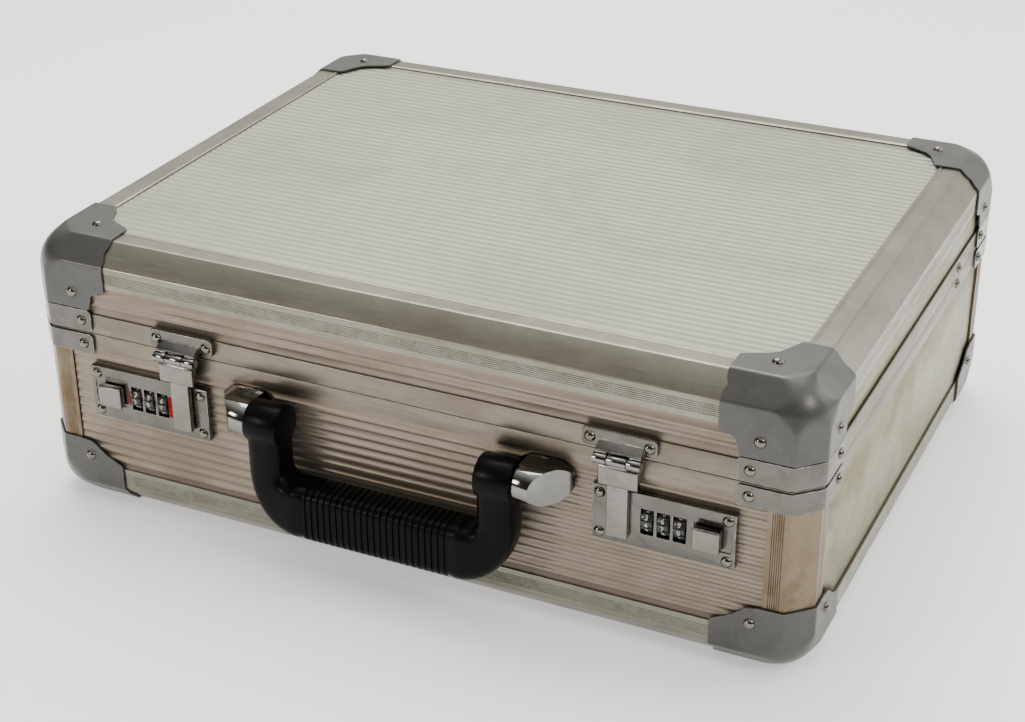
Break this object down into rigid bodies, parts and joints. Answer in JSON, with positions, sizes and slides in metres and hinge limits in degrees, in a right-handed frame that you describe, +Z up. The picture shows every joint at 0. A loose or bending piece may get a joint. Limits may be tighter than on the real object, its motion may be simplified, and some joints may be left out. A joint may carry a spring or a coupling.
{
  "type": "attache case",
  "caption": "Shallow hard case with ribbed panels in a bent metal frame, pressed corner pieces, a back hinge, sliding-button hasp latches with number dials and a folding grip handle.",
  "frame": {"origin": "centre of the bounding box's underside, on the surface that the case stands on", "axes": "+X along the front towards the viewer's right, +Y from the handle side to the hinge side, +Z up through the lid"},
  "size_m": [0.4632, 0.389, 0.1669],
  "materials": {
    "aluminium_board": "finely ribbed, satin",
    "aluminium_frame": "extruded, satin with fine grooves",
    "grey_corner": "semi-gloss grey, lightly scratched",
    "nickel": "nickel plated, softly polished",
    "chrome": "polished",
    "black_plastic": "moulded, semi-gloss",
    "dial": "black with pale numerals",
    "lining": "dark short-pile cloth"
  },
  "bodies": {
    "base": {"base_clip_back_left": "nickel", "base_clip_back_right": "nickel", "base_clip_front_left": "nickel", "base_clip_front_right": "nickel", "base_corner_back_left": "grey_corner", "base_corner_back_right": "grey_corner", "base_corner_front_left": "grey_corner", "base_corner_front_right": "grey_corner", "base_edge_back": "aluminium_frame", "base_edge_front": "aluminium_frame", "base_edge_left": "aluminium_frame", "base_edge_right": "aluminium_frame", "base_floor": "aluminium_board", "base_lining": "lining", "base_post_back_left": "aluminium_frame", "base_post_back_right": "aluminium_frame", "base_post_front_left": "aluminium_frame", "base_post_front_right": "aluminium_frame", "base_rim": "aluminium_frame", "base_walls": "aluminium_board", "hinge_leaf_base": "nickel", "handle_bracket_left": "chrome", "handle_bracket_right": "chrome", "lock_plate_left": "nickel", "lock_plate_right": "nickel"},
    "lid": {"lid_clip_back_left": "nickel", "lid_clip_back_right": "nickel", "lid_clip_front_left": "nickel", "lid_clip_front_right": "nickel", "lid_corner_back_left": "grey_corner", "lid_corner_back_right": "grey_corner", "lid_corner_front_left": "grey_corner", "lid_corner_front_right": "grey_corner", "lid_edge_back": "aluminium_frame", "lid_edge_front": "aluminium_frame", "lid_edge_left": "aluminium_frame", "lid_edge_right": "aluminium_frame", "lid_lining": "lining", "lid_rim": "aluminium_frame", "lid_top": "aluminium_board", "lid_walls": "aluminium_board", "hinge_leaf_lid": "nickel", "latch_keeper_left": "nickel", "latch_keeper_right": "nickel"},
    "handle": {"handle": "black_plastic"},
    "hasp_left": {"latch_hasp_left": "nickel"},
    "button_left": {"latch_button_left": "nickel"},
    "stay_lower_left": {"stay_lower_left": "nickel"},
    "stay_upper_left": {"stay_upper_left": "nickel"},
    "dial_left_1": {"dial_left_1": "dial"},
    "dial_left_2": {"dial_left_2": "dial"},
    "dial_left_3": {"dial_left_3": "dial"},
    "hasp_right": {"latch_hasp_right": "nickel"},
    "button_right": {"latch_button_right": "nickel"},
    "stay_lower_right": {"stay_lower_right": "nickel"},
    "stay_upper_right": {"stay_upper_right": "nickel"},
    "dial_right_1": {"dial_right_1": "dial"},
    "dial_right_2": {"dial_right_2": "dial"},
    "dial_right_3": {"dial_right_3": "dial"}
  },
  "joints": [
    {"name": "lid_hinge", "type": "hinge", "parent": "base", "child": "lid", "pos_m": [0, 0.19185, 0.1105], "axis": [-1, 0, 0], "range_deg": [0, 90]},
    {"name": "handle_swing", "type": "hinge", "parent": "base", "child": "handle", "pos_m": [0, -0.18075, 0.0893], "axis": [-1, 0, 0], "range_deg": [0, 95]},
    {"name": "hasp_swing_left", "type": "hinge", "parent": "lid", "child": "hasp_left", "pos_m": [-0.1294, -0.17495, 0.1105], "axis": [-1, 0, 0], "range_deg": [0, 110]},
    {"name": "button_slide_left", "type": "slide", "parent": "base", "child": "button_left", "axis": [-1, 0, 0], "range_m": [0, 0.0045], "stiffness_N_per_m": 300},
    {"name": "dial_turn_left_1", "type": "hinge", "parent": "base", "child": "dial_left_1", "pos_m": [-0.144, -0.16495, 0.0764], "axis": [1, 0, 0], "continuous": true},
    {"name": "dial_turn_left_2", "type": "hinge", "parent": "base", "child": "dial_left_2", "pos_m": [-0.15265, -0.16495, 0.0764], "axis": [1, 0, 0], "continuous": true},
    {"name": "dial_turn_left_3", "type": "hinge", "parent": "base", "child": "dial_left_3", "pos_m": [-0.1613, -0.16495, 0.0764], "axis": [1, 0, 0], "continuous": true},
    {"name": "stay_lower_swing_left", "type": "hinge", "parent": "base", "child": "stay_lower_left", "pos_m": [-0.2285, 0.10665, 0.106], "axis": [-1, 0, 0], "range_deg": [0, 113.3]},
    {"name": "stay_upper_swing_left", "type": "hinge", "parent": "lid", "child": "stay_upper_left", "pos_m": [-0.2285, 0.10665, 0.116], "axis": [1, 0, 0], "range_deg": [0, 112.7]},
    {"name": "hasp_swing_right", "type": "hinge", "parent": "lid", "child": "hasp_right", "pos_m": [0.1294, -0.17495, 0.1105], "axis": [-1, 0, 0], "range_deg": [0, 110]},
    {"name": "button_slide_right", "type": "slide", "parent": "base", "child": "button_right", "axis": [1, 0, 0], "range_m": [0, 0.0045], "stiffness_N_per_m": 300},
    {"name": "dial_turn_right_1", "type": "hinge", "parent": "base", "child": "dial_right_1", "pos_m": [0.144, -0.16495, 0.0764], "axis": [1, 0, 0], "continuous": true},
    {"name": "dial_turn_right_2", "type": "hinge", "parent": "base", "child": "dial_right_2", "pos_m": [0.15265, -0.16495, 0.0764], "axis": [1, 0, 0], "continuous": true},
    {"name": "dial_turn_right_3", "type": "hinge", "parent": "base", "child": "dial_right_3", "pos_m": [0.1613, -0.16495, 0.0764], "axis": [1, 0, 0], "continuous": true},
    {"name": "stay_lower_swing_right", "type": "hinge", "parent": "base", "child": "stay_lower_right", "pos_m": [0.2285, 0.10665, 0.106], "axis": [-1, 0, 0], "range_deg": [0, 113.3]},
    {"name": "stay_upper_swing_right", "type": "hinge", "parent": "lid", "child": "stay_upper_right", "pos_m": [0.2285, 0.10665, 0.116], "axis": [1, 0, 0], "range_deg": [0, 112.7]}
  ],
  "couplings": [
    {"joint": "stay_lower_swing_left", "follows": "lid_hinge", "ratio": 1.2579},
    {"joint": "stay_upper_swing_left", "follows": "lid_hinge", "ratio": 1.2508},
    {"joint": "stay_lower_swing_right", "follows": "lid_hinge", "ratio": 1.2579},
    {"joint": "stay_upper_swing_right", "follows": "lid_hinge", "ratio": 1.2508}
  ]
}
